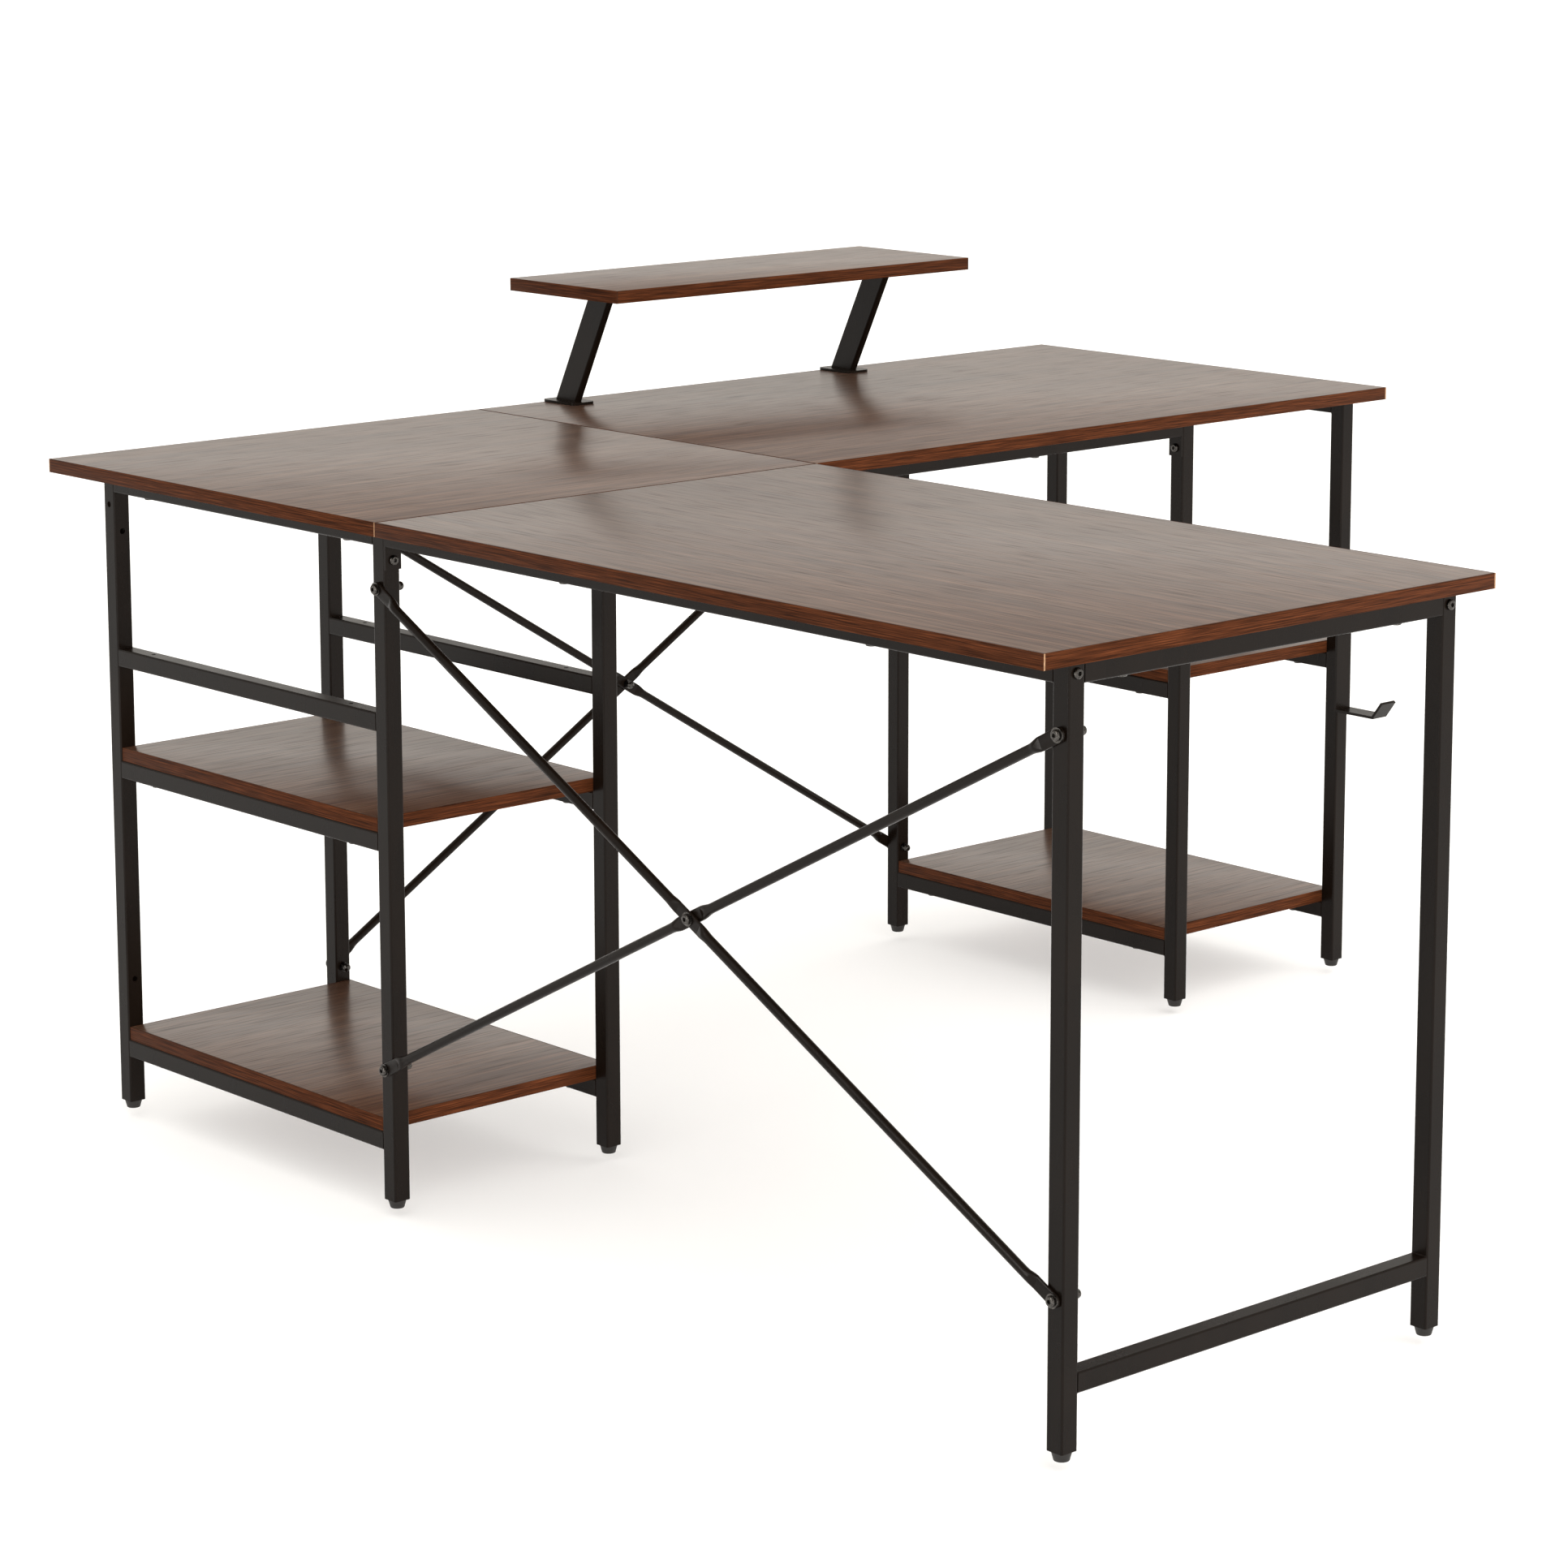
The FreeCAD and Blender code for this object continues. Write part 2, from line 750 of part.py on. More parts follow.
def make_brace_cap_nuts():
    nuts = [cap_nut(seat + inward * grip, inward) for seat, inward, grip in brace_fixings()]
    return Part.makeCompound(nuts)


# ---- rail fixings

def tab_fixings():
    """Each tab bolt's seat on its tab, and its direction into the leg."""
    x_dir = DIRECTIONS["x"]
    y_dir = DIRECTIONS["y"]
    z = tab_bolt_height
    found = [(point(x_front + tube + tab_thickness, y_wall + half, z), -x_dir)]
    for x in (x_back, x_front):
        found.append((point(x + half, y_inner + tube + tab_thickness, z), -y_dir))
        found.append((point(x + half, y_end_inner - tab_thickness, z), y_dir))
    return found


def make_tab_bolts():
    length = tab_thickness + tube_wall + nut_height + nut_play
    return Part.makeCompound([socket_bolt(seat, way, length) for seat, way in tab_fixings()])


def make_leg_nuts():
    """Nuts welded inside the legs behind the tabs, and inside the end rail behind the hook."""
    depth = tab_thickness + tube_wall
    nuts = [plain_nut(seat + way * depth, way) for seat, way in tab_fixings()]
    nuts.append(plain_nut(point(x_end + tube_wall, hook_middle, rail_middle), DIRECTIONS["x"]))
    return Part.makeCompound(nuts)


def make_rail_end_bolts():
    """Long bolts through a leg, or through the main rail, into the plugged end of a side rail."""
    x_dir = DIRECTIONS["x"]
    length = tube + end_plug_length
    return Part.makeCompound([
        socket_bolt(point(x_end + tube, y_wall + half, rail_middle), -x_dir, length),
        socket_bolt(point(x_end + tube, y_user + half, rail_middle), -x_dir, length),
        socket_bolt(point(x_front, y_user + half, rail_middle), x_dir, length),
    ])


# ---- screws into the boards

def screws(places, seat_z, length):
    return [wood_screw(point(x, y, seat_z), length) for x, y in places]


def make_top_screws():
    places = corner_top_screws() + main_top_screws() + side_top_screws()
    return Part.makeCompound(screws(places, under_top - tube, tube + screw_bite))


def make_shelf_screws():
    found = []
    for y in SHELF_FRAMES.values():
        for rail_top in (low_rail_top, mid_rail_top):
            found.extend(screws(frame_rail_holes(y), rail_top - tube, tube + screw_bite))
    return Part.makeCompound(found)


def make_monitor_shelf_screws():
    seat = desk_height + shelf_top_rise - board_thickness - flange_thickness
    return Part.makeCompound(screws(shelf_screw_places(), seat, flange_thickness + screw_bite))


def make_monitor_base_bolts():
    up = DIRECTIONS["z"]
    length = board_thickness + flange_thickness
    bolts = [socket_bolt(point(x, y, under_top), up, length) for x, y in base_bolt_places()]
    return Part.makeCompound(bolts)


# ---- hook

def make_hook():
    """A bent strip: an upright plate behind the end rail, an arm under it and a raised lip."""
    top = under_top - hook_top_gap
    low = under_top - hook_drop
    left = x_end - hook_strip
    right = x_end + hook_arm
    lip = math.hypot(hook_lip_run, hook_lip_rise)
    over = hook_strip * hook_lip_rise / lip
    up = hook_strip * hook_lip_run / lip
    tip = point(right + hook_lip_run, 0, low + hook_lip_rise)
    inner = hook_strip * math.tan(math.atan2(hook_lip_rise, hook_lip_run) / 2.0)
    corners = [
        point(left, 0, top),
        point(left, 0, low),
        point(right, 0, low),
        tip,
        tip + point(-over, 0, up),
        point(right - inner, 0, low + hook_strip),
        point(x_end, 0, low + hook_strip),
        point(x_end, 0, top),
    ]
    face = Part.Face(Part.makePolygon(corners + corners[:1]))
    face.translate(point(0, hook_middle - hook_width / 2.0, 0))
    strip = face.extrude(point(0, hook_width, 0))
    hole = rod(point(left, hook_middle, rail_middle), DIRECTIONS["x"], bolt_hole_radius, hook_strip)
    return strip.cut(hole)


def make_hook_bolt():
    length = hook_strip + tube_wall + nut_height + nut_play
    seat = point(x_end - hook_strip, hook_middle, rail_middle)
    return socket_bolt(seat, DIRECTIONS["x"], length)


# ---- feet

def make_foot(x, y):
    """A tapered plastic foot with its threaded stud, screwed right in."""
    middle = point(x + half, y + half, 0)
    cone = Part.makeCone(foot_bottom_diameter / 2.0, foot_top_diameter / 2.0, foot_height, middle)
    rims = [e for e in cone.Edges if e.Closed and e.CenterOfMass.z < foot_height / 2.0]
    cone = cone.makeFillet(foot_round, rims)
    stud = rod(middle + point(0, 0, foot_height), DIRECTIONS["z"], stud_diameter / 2.0, stud_length)
    return fuse([cone, stud])


def make_foot_plugs():
    """The threaded plugs in the legs' lower ends."""
    plugs = []
    for x, y in LEGS.values():
        plug = tube_plug(point(x, y, foot_height), "z", foot_plug_length)
        hole = rod(
            point(x + half, y + half, foot_height),
            DIRECTIONS["z"],
            stud_diameter / 2.0 + stud_clearance,
            foot_plug_length,
        )
        plugs.append(plug.cut(hole))
    return Part.makeCompound(plugs)


# ---- the whole desk

def make_all():
    parts = {}
    parts["corner_top"] = make_corner_top()
    parts["side_wing_top"] = make_side_wing_top()
    parts["main_wing_top"] = make_main_wing_top()
    for unit, y in (("corner", y_wall), ("end", y_end_inner)):
        parts[unit + "_low_shelf"] = make_shelf(y, low_rail_top)
        parts[unit + "_mid_shelf"] = make_shelf(y, mid_rail_top)
    parts["monitor_shelf"] = make_monitor_shelf()
    for side, y in zip(("left", "right"), post_middles()):
        parts["monitor_post_" + side] = make_monitor_post(y)
    for name, (x, y) in LEGS.items():
        parts[name] = make_leg(name)
        parts[name.replace("leg", "foot")] = make_foot(x, y)
    for name, y in SHELF_FRAMES.items():
        parts[name + "_rails"] = make_frame_rails(y)
    parts["side_end_rail"] = make_side_end_rail()
    parts["side_end_stretcher"] = make_side_end_stretcher()
    parts["side_wall_rail"] = make_side_rail(y_wall, True)
    parts["side_user_rail"] = make_side_rail(y_user, False)
    parts["main_back_rail"] = make_main_rail(x_back)
    parts["main_front_rail"] = make_main_rail(x_front)
    parts.update(make_braces())
    parts["brace_bolts"] = make_brace_bolts()
    parts["brace_washers"] = make_brace_washers()
    parts["brace_cap_nuts"] = make_brace_cap_nuts()
    parts["tab_bolts"] = make_tab_bolts()
    parts["weld_nuts"] = make_leg_nuts()
    parts["rail_end_bolts"] = make_rail_end_bolts()
    parts["rail_end_plugs"] = make_rail_end_plugs()
    parts["top_screws"] = make_top_screws()
    parts["shelf_screws"] = make_shelf_screws()
    parts["monitor_shelf_screws"] = make_monitor_shelf_screws()
    parts["monitor_base_bolts"] = make_monitor_base_bolts()
    parts["bag_hook"] = make_hook()
    parts["hook_bolt"] = make_hook_bolt()
    parts["foot_plugs"] = make_foot_plugs()
    return parts


def write_all():
    os.makedirs("parts", exist_ok=True)
    for name, shape in make_all().items():
        shape.translate(footprint_middle * -1.0)
        shape.exportStep("parts/" + name + ".step")
        print(name, len(shape.Solids), "valid" if shape.isValid() else "NOT VALID", round(shape.Volume, 1))


write_all()
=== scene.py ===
import json
import math

import bmesh
import bpy
from mathutils import Matrix, Vector


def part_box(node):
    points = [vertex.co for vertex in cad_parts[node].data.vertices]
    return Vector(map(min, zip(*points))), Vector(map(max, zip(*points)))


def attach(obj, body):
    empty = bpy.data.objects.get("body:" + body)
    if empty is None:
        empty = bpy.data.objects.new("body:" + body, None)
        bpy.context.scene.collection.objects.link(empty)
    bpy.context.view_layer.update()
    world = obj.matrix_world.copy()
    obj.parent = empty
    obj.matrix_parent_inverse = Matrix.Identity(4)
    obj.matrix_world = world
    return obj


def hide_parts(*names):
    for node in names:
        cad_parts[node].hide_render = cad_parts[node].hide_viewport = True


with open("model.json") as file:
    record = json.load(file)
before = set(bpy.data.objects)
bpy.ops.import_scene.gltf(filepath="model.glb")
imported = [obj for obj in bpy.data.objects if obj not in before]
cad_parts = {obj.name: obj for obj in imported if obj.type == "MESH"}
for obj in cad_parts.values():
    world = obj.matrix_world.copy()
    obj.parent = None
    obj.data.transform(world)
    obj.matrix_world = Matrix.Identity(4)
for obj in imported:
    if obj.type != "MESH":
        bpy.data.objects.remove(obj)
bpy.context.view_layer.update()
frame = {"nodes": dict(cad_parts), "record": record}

# Corner desk: melamine boards with a walnut print on a powder-coated steel frame.
# Metres, in the desk's own frame: +X along the side wing, +Y along the main wing, +Z up.


def mm(size):
    return size / 1000.0


def colour(hex_value):
    """An sRGB hex value as linear red, green, blue and alpha."""
    channels = []
    for start in (0, 2, 4):
        value = int(hex_value[start:start + 2], 16) / 255.0
        if value <= 0.04045:
            channels.append(value / 12.92)
        else:
            channels.append(((value + 0.055) / 1.055) ** 2.4)
    return (*channels, 1.0)


# ---- materials

def add_node(tree, kind, values=None, links=None, **settings):
    """Adds a node. values sets its sockets, links joins them to (node, output) pairs."""
    made = tree.nodes.new(kind)
    for name, value in settings.items():
        setattr(made, name, value)
    for socket, value in (values or {}).items():
        made.inputs[socket].default_value = value
    for socket, (source, output) in (links or {}).items():
        tree.links.new(source.outputs[output], made.inputs[socket])
    return made


def set_ramp(ramp, stops):
    """Gives a colour ramp its stops, as (place, hex) or (place, grey) pairs."""
    elements = ramp.color_ramp.elements
    while len(elements) < len(stops):
        elements.new(0.5)
    for element, (place, value) in zip(elements, stops):
        element.position = place
        if isinstance(value, str):
            element.color = colour(value)
        else:
            element.color = (value, value, value, 1.0)


def new_material(name, **constants):
    """A material with a Principled shader. A socket that is linked later keeps its constant too."""
    material = bpy.data.materials.new(name)
    material.use_nodes = True
    tree = material.node_tree
    tree.nodes.clear()
    shader = add_node(tree, "ShaderNodeBsdfPrincipled")
    for socket, value in constants.items():
        shader.inputs[socket.replace("_", " ")].default_value = value
    add_node(tree, "ShaderNodeOutputMaterial", links={"Surface": (shader, "BSDF")})
    return material, tree, shader


def stretched_noise(tree, across_mm, along_mm, grain, detail, distortion, offset=0.0):
    """Noise in streaks: one feature is across_mm wide and along_mm long, along the grain."""
    place = add_node(tree, "ShaderNodeTexCoord")
    sizes = [1.0 / mm(across_mm)] * 3
    sizes["XYZ".index(grain)] = 1.0 / mm(along_mm)
    mapping = add_node(
        tree,
        "ShaderNodeMapping",
        {"Scale": sizes, "Location": (offset, offset * 1.7, offset * 0.6)},
        {"Vector": (place, "Object")},
    )
    return add_node(
        tree,
        "ShaderNodeTexNoise",
        {"Scale": 1.0, "Detail": detail, "Roughness": 0.6, "Distortion": distortion},
        {"Vector": (mapping, "Vector")},
    )


def mix_colour(tree, factor, first, second, blend="MIX", amount=None):
    """Mixes two colours. factor is a (node, output) pair, or None with a fixed amount."""
    mix = add_node(tree, "ShaderNodeMix", data_type="RGBA", blend_type=blend)
    if factor is None:
        mix.inputs[0].default_value = amount
    else:
        tree.links.new(factor[0].outputs[factor[1]], mix.inputs[0])
    for socket, source in ((6, first), (7, second)):
        if isinstance(source, str):
            mix.inputs[socket].default_value = colour(source)
        else:
            tree.links.new(source[0].outputs[source[1]], mix.inputs[socket])
    return (mix, 2)


def ranged(tree, source, low, high, to_low, to_high):
    """Maps a value from one range to another, held inside it."""
    return add_node(
        tree,
        "ShaderNodeMapRange",
        {"From Min": low, "From Max": high, "To Min": to_low, "To Max": to_high},
        {"Value": source},
    )


def make_walnut_face(name, grain, offset):
    """Melamine-faced chipboard with a walnut print.

    The paper is printed with straight walnut grain and pressed against a finely grained plate, so
    that the gloss is satin, drags a little across the grain and breaks up in the pores.
    """
    material, tree, shader = new_material(name, Roughness=0.34, IOR=1.5, Specular_IOR_Level=0.45)
    figure = stretched_noise(tree, 70.0, 900.0, grain, 3.0, 0.1, offset)
    growth = stretched_noise(tree, 3.8, 330.0, grain, 4.0, 0.0, offset + 3.0)
    fibre = stretched_noise(tree, 1.2, 85.0, grain, 2.0, 0.0, offset + 7.0)
    pores = stretched_noise(tree, 1.9, 75.0, grain, 2.0, 0.0, offset + 11.0)
    tone = add_node(tree, "ShaderNodeValToRGB", links={"Fac": (growth, "Fac")})
    set_ramp(tone, [(0.34, "3A2419"), (0.46, "4B3427"), (0.54, "563F30"), (0.66, "684F40")])
    shade = add_node(tree, "ShaderNodeValToRGB", links={"Fac": (figure, "Fac")})
    set_ramp(shade, [(0.34, "E2D0C2"), (0.5, "F4ECE6"), (0.66, "FFFFFF")])
    base = mix_colour(tree, None, (tone, "Color"), (shade, "Color"), "MULTIPLY", 1.0)
    streak = add_node(tree, "ShaderNodeValToRGB", links={"Fac": (fibre, "Fac")})
    set_ramp(streak, [(0.35, 0.72), (0.65, 1.26)])
    base = mix_colour(tree, None, base, (streak, "Color"), "MULTIPLY", 1.0)
    deepest = 0.6
    open_pores = ranged(tree, (pores, "Fac"), 0.52, 0.66, 0.0, deepest)
    base = mix_colour(tree, (open_pores, "Result"), base, "28180F")
    tree.links.new(base[0].outputs[base[1]], shader.inputs["Base Color"])
    gloss = ranged(tree, (open_pores, "Result"), 0.0, deepest, 0.28, 0.38)
    tree.links.new(gloss.outputs["Result"], shader.inputs["Roughness"])
    shine = ranged(tree, (open_pores, "Result"), 0.0, deepest, 0.70, 0.46)
    tree.links.new(shine.outputs["Result"], shader.inputs["Specular IOR Level"])
    relief = add_node(
        tree,
        "ShaderNodeMath",
        {1: -0.6},
        {0: (open_pores, "Result"), 2: (fibre, "Fac")},
        operation="MULTIPLY_ADD",
    )
    bump = add_node(
        tree,
        "ShaderNodeBump",
        {"Strength": 0.045, "Distance": mm(0.12)},
        {"Height": (relief, "Value")},
    )
    tree.links.new(bump.outputs["Normal"], shader.inputs["Normal"])
    return material


def make_walnut_band():
    """ABS edge band printed with straight walnut grain, redder and more contrasty than the faces.

    Its streaks run along the band. They are about 1 mm high, with finer fibres over them.
    """
    material, tree, shader = new_material(
        "walnut printed ABS edge band", Roughness=0.45, IOR=1.5, Specular_IOR_Level=0.03
    )
    place = add_node(tree, "ShaderNodeUVMap", uv_map="band")
    layers = []
    for high_mm, long_mm, shift in ((1.0, 60.0, 0.0), (0.45, 22.0, 5.0), (7.0, 260.0, 9.0)):
        mapping = add_node(
            tree,
            "ShaderNodeMapping",
            {"Scale": (1.0 / mm(long_mm), 1.0 / mm(high_mm), 1.0), "Location": (shift, shift, 0)},
            {"Vector": (place, "UV")},
        )
        layers.append(add_node(
            tree,
            "ShaderNodeTexNoise",
            {"Scale": 1.0, "Detail": 3.0, "Roughness": 0.55, "Distortion": 0.25},
            {"Vector": (mapping, "Vector")},
        ))
    streaks, fibre, tone = layers
    grain = add_node(tree, "ShaderNodeValToRGB", links={"Fac": (streaks, "Fac")})
    set_ramp(grain, [(0.34, "29150B"), (0.45, "3D2011"), (0.55, "4B2816"), (0.68, "5F341D")])
    fine = add_node(tree, "ShaderNodeValToRGB", links={"Fac": (fibre, "Fac")})
    set_ramp(fine, [(0.35, 0.78), (0.65, 1.18)])
    base = mix_colour(tree, None, (grain, "Color"), (fine, "Color"), "MULTIPLY", 1.0)
    slow = add_node(tree, "ShaderNodeValToRGB", links={"Fac": (tone, "Fac")})
    set_ramp(slow, [(0.35, 0.82), (0.65, 1.12)])
    base = mix_colour(tree, None, base, (slow, "Color"), "MULTIPLY", 1.0)
    tree.links.new(base[0].outputs[base[1]], shader.inputs["Base Color"])
    bump = add_node(
        tree,
        "ShaderNodeBump",
        {"Strength": 0.2, "Distance": mm(0.1)},
        {"Height": (streaks, "Fac")},
    )
    tree.links.new(bump.outputs["Normal"], shader.inputs["Normal"])
    return material


def make_plain_band(name, dark, light, roughness):
    """Cut or trimmed ABS of the edge band: unprinted, with the fine marks of the trimming cutter."""
    material, tree, shader = new_material(
        name, Roughness=roughness, IOR=1.5, Specular_IOR_Level=0.04
    )
    marks = stretched_noise(tree, 0.8, 3.0, "Z", 3.0, 0.0)
    tone = add_node(tree, "ShaderNodeValToRGB", links={"Fac": (marks, "Fac")})
    set_ramp(tone, [(0.35, dark), (0.65, light)])
    tree.links.new(tone.outputs["Color"], shader.inputs["Base Color"])
    return material


def make_powder_coat():
    """Satin black polyester powder coat on steel.

    It flows out into a fine orange peel of about 1 mm and its gloss varies a little along a tube.
    """
    material, tree, shader = new_material(
        "satin black powder coat", Roughness=0.28, IOR=1.5, Specular_IOR_Level=0.12
    )
    peel = stretched_noise(tree, 1.1, 1.1, "Z", 2.0, 0.0)
    grit = stretched_noise(tree, 0.5, 0.5, "Z", 2.0, 0.0, 4.0)
    cloud = stretched_noise(tree, 45.0, 120.0, "Z", 3.0, 0.3, 8.0)
    tone = add_node(tree, "ShaderNodeValToRGB", links={"Fac": (cloud, "Fac")})
    set_ramp(tone, [(0.35, "0E0906"), (0.65, "120C08")])
    speck = add_node(tree, "ShaderNodeValToRGB", links={"Fac": (grit, "Fac")})
    set_ramp(speck, [(0.40, 0.82), (0.60, 1.25)])
    base = mix_colour(tree, None, (tone, "Color"), (speck, "Color"), "MULTIPLY", 1.0)
    tree.links.new(base[0].outputs[base[1]], shader.inputs["Base Color"])
    gloss = ranged(tree, (cloud, "Fac"), 0.3, 0.7, 0.25, 0.31)
    tree.links.new(gloss.outputs["Result"], shader.inputs["Roughness"])
    bump = add_node(
        tree,
        "ShaderNodeBump",
        {"Strength": 0.18, "Distance": mm(0.15)},
        {"Height": (peel, "Fac")},
    )
    tree.links.new(bump.outputs["Normal"], shader.inputs["Normal"])
    return material


def make_black_zinc():
    """Black zinc-plated fasteners: dark metal with a soft gloss and slightly mottled."""
    material, tree, shader = new_material("black zinc plate", Metallic=1.0, Roughness=0.28)
    mottle = stretched_noise(tree, 1.5, 1.5, "Z", 3.0, 0.0)
    tone = add_node(tree, "ShaderNodeValToRGB", links={"Fac": (mottle, "Fac")})
    set_ramp(tone, [(0.35, "3A3836"), (0.65, "5C5956")])
    tree.links.new(tone.outputs["Color"], shader.inputs["Base Color"])
    gloss = ranged(tree, (mottle, "Fac"), 0.3, 0.7, 0.18, 0.3)
    tree.links.new(gloss.outputs["Result"], shader.inputs["Roughness"])
    return material


def make_bright_zinc():
    """Clear zinc plate on screws, nuts and plugs: pale metal with a faint yellow and blue cast."""
    material, tree, shader = new_material("clear zinc plate", Metallic=1.0, Roughness=0.3)
    cast = stretched_noise(tree, 3.0, 3.0, "Z", 3.0, 0.5)
    tone = add_node(tree, "ShaderNodeValToRGB", links={"Fac": (cast, "Fac")})
    set_ramp(tone, [(0.35, "A9A79B"), (0.65, "B9C0C4")])
    tree.links.new(tone.outputs["Color"], shader.inputs["Base Color"])
    gloss = ranged(tree, (cast, "Fac"), 0.3, 0.7, 0.22, 0.38)
    tree.links.new(gloss.outputs["Result"], shader.inputs["Roughness"])
    return material


def make_black_plastic():
    """Moulded black polypropylene: dull, with the fine spark-eroded texture of its mould."""
    material, tree, shader = new_material("moulded black polypropylene", Roughness=0.55, IOR=1.49)
    texture = stretched_noise(tree, 0.6, 0.6, "Z", 2.0, 0.0)
    tone = add_node(tree, "ShaderNodeValToRGB", links={"Fac": (texture, "Fac")})
    set_ramp(tone, [(0.35, "0E0B09"), (0.65, "16120F")])
    tree.links.new(tone.outputs["Color"], shader.inputs["Base Color"])
    bump = add_node(
        tree,
        "ShaderNodeBump",
        {"Strength": 0.3, "Distance": mm(0.1)},
        {"Height": (texture, "Fac")},
    )
    tree.links.new(bump.outputs["Normal"], shader.inputs["Normal"])
    return material


walnut_along_main = make_walnut_face("walnut print melamine, grain along the main wing", "Y", 0.0)
walnut_along_side = make_walnut_face("walnut print melamine, grain along the side wing", "X", 20.0)
walnut_band = make_walnut_band()
band_rim = make_plain_band("trimmed ABS band, brown", "2E1A10", "442A1C", 0.5)
band_cut = make_plain_band("cut end of the ABS band, pale", "8A6A50", "A8876A", 0.6)
powder_coat = make_powder_coat()
black_zinc = make_black_zinc()
bright_zinc = make_bright_zinc()
black_plastic = make_black_plastic()

SLOT_MATERIALS = {
    "walnut_laminate": walnut_along_main,
    "black_powder_coat": powder_coat,
    "black_hardware": black_zinc,
    "zinc_plated_steel": bright_zinc,
    "black_plastic": black_plastic,
}


# ---- pieces

def new_object(name, data):
    made = bpy.data.objects.new(name, data)
    bpy.context.scene.collection.objects.link(made)
    return made


def finish_piece(made, body, slot, *nodes):
    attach(made, body)
    if nodes:
        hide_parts(*nodes)


def add_block(shape, low, high, bevel, material_index):
    """Adds a block with rounded edges to a bmesh."""
    others = set(shape.faces)
    place = Matrix.Translation((low + high) / 2.0) @ Matrix.Diagonal((*(high - low), 1.0))
    made = bmesh.ops.create_cube(shape, size=1.0, matrix=place)
    corners = set(made["verts"])
    edges = [edge for edge in shape.edges if corners.issuperset(edge.verts)]
    bmesh.ops.bevel(
        shape, geom=edges, offset=bevel, segments=2, profile=0.5, affect="EDGES", clamp_overlap=True
    )
    faces = [face for face in shape.faces if face not in others]
    for face in faces:
        face.material_index = material_index
        face.smooth = True
    return faces


FACE, BAND, RIM, CUT = range(4)
SIDE_SHIFT = 0.37  # moves the grain of a band away from that of the opposite one
BOARD_EDGE = mm(0.15)
BAND_EDGE = mm(0.3)


def paint_band(faces, shape, outward):
    """Prints an edge band's outer face, and tells its trimmed rims from its cut ends."""
    band_uv = shape.loops.layers.uv["band"]
    along = 1 if abs(outward.x) > 0.5 else 0
    for face in faces:
        normal = face.normal
        if normal.dot(outward) > 0.6:
            face.material_index = BAND
        elif abs(normal[along]) > 0.6:
            face.material_index = CUT
        else:
            face.material_index = RIM
        for loop in face.loops:
            spot = loop.vert.co
            loop[band_uv].uv = (spot[along], spot.z + spot[1 - along] * SIDE_SHIFT)


def make_board(node, face_material, band_mm, full_bands, cut_material):
    """A board with edge bands on its four sides.

    The two bands that face along the axis full_bands run the full length of their sides and hide
    the ends of the other two.
    """
    low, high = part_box(node)
    band = mm(band_mm)
    shape = bmesh.new()
    shape.loops.layers.uv.new("band")
    inset = Vector((band, band, 0.0))
    add_block(shape, low + inset, high - inset, BOARD_EDGE, FACE)
    for axis in (0, 1):
        other = 1 - axis
        for side in (-1.0, 1.0):
            first, last = low.copy(), high.copy()
            if side < 0:
                last[axis] = low[axis] + band
            else:
                first[axis] = high[axis] - band
            if "XY"[axis] != full_bands:
                first[other] += band
                last[other] -= band
            faces = add_block(shape, first, last, BAND_EDGE, BAND)
            shape.normal_update()
            outward = Vector((0.0, 0.0, 0.0))
            outward[axis] = side
            paint_band(faces, shape, outward)
    mesh = bpy.data.meshes.new(node + "_board")
    shape.to_mesh(mesh)
    shape.free()
    for material in (face_material, walnut_band, band_rim, cut_material):
        mesh.materials.append(material)
    board = new_object(node + "_board", mesh)
    finish_piece(board, "desk", "walnut_laminate", node)


def bar_section(facet, crown, reach):
    """One ring around a bar, as (across, out) pairs.

    facet is half the width of the flat on top and below, crown its height above the bar's middle
    plane, and reach half the ring's full width.
    """
    quarter = []
    for step in range(1, 6):
        angle = math.pi / 2.0 * (1.0 - step / 6.0)
        quarter.append((facet + (reach - facet) * math.cos(angle), crown * math.sin(angle)))
    points = [(-facet, crown), (0.0, crown), (facet, crown)]
    points += quarter + [(reach, 0.0)] + [(side, -out) for side, out in quarter[::-1]]
    points += [(facet, -crown), (0.0, -crown), (-facet, -crown)]
    points += [(-side, -out) for side, out in quarter] + [(-reach, 0.0)]
    points += [(-side, out) for side, out in quarter[::-1]]
    return points


BAR_RADIUS = mm(5.0)
FLAT_HALF_THICK = mm(1.75)
FLAT_HALF_WIDE = mm(7.0)
FLAT_FACET = FLAT_HALF_WIDE - FLAT_HALF_THICK
LEAST_FACET = mm(0.03)
TIP_REACH = mm(1.9)  # half the width that is left at a flat's rounded tip
END_FLAT = mm(24.0)  # from the end bolt to the neck
MIDDLE_FLAT = mm(34.0)  # from neck to neck, across the other bar
NECK = mm(16.0)
CREASE = mm(8.0)  # length of the triangle in a neck
NECK_STEPS = (0.0, 2.0, 4.0, 6.0, 7.2, 8.0, 10.5, 13.0, 16.0)
FACET_SIDES = (0, 2, 14, 16)  # points of a ring where a facet ends
FACET_STEPS = (0, 1, 14, 15)  # first point of each step across a facet


def neck_rings(place, direction, offset):
    """Rings from a flat into the round tube. A planar triangle rises from the flat to the crown."""
    rings = []
    for distance in NECK_STEPS:
        along = mm(distance)
        rise = min(along / CREASE, 1.0)
        share = along / NECK
        smooth = share * share * (3.0 - 2.0 * share)
        rings.append((
            place + direction * along,
            offset * smooth,
            max(FLAT_FACET * (1.0 - rise), LEAST_FACET),
            FLAT_HALF_THICK + (BAR_RADIUS - FLAT_HALF_THICK) * rise,
            FLAT_HALF_WIDE + (BAR_RADIUS - FLAT_HALF_WIDE) * smooth,
            distance == 0.0,
        ))
    return rings


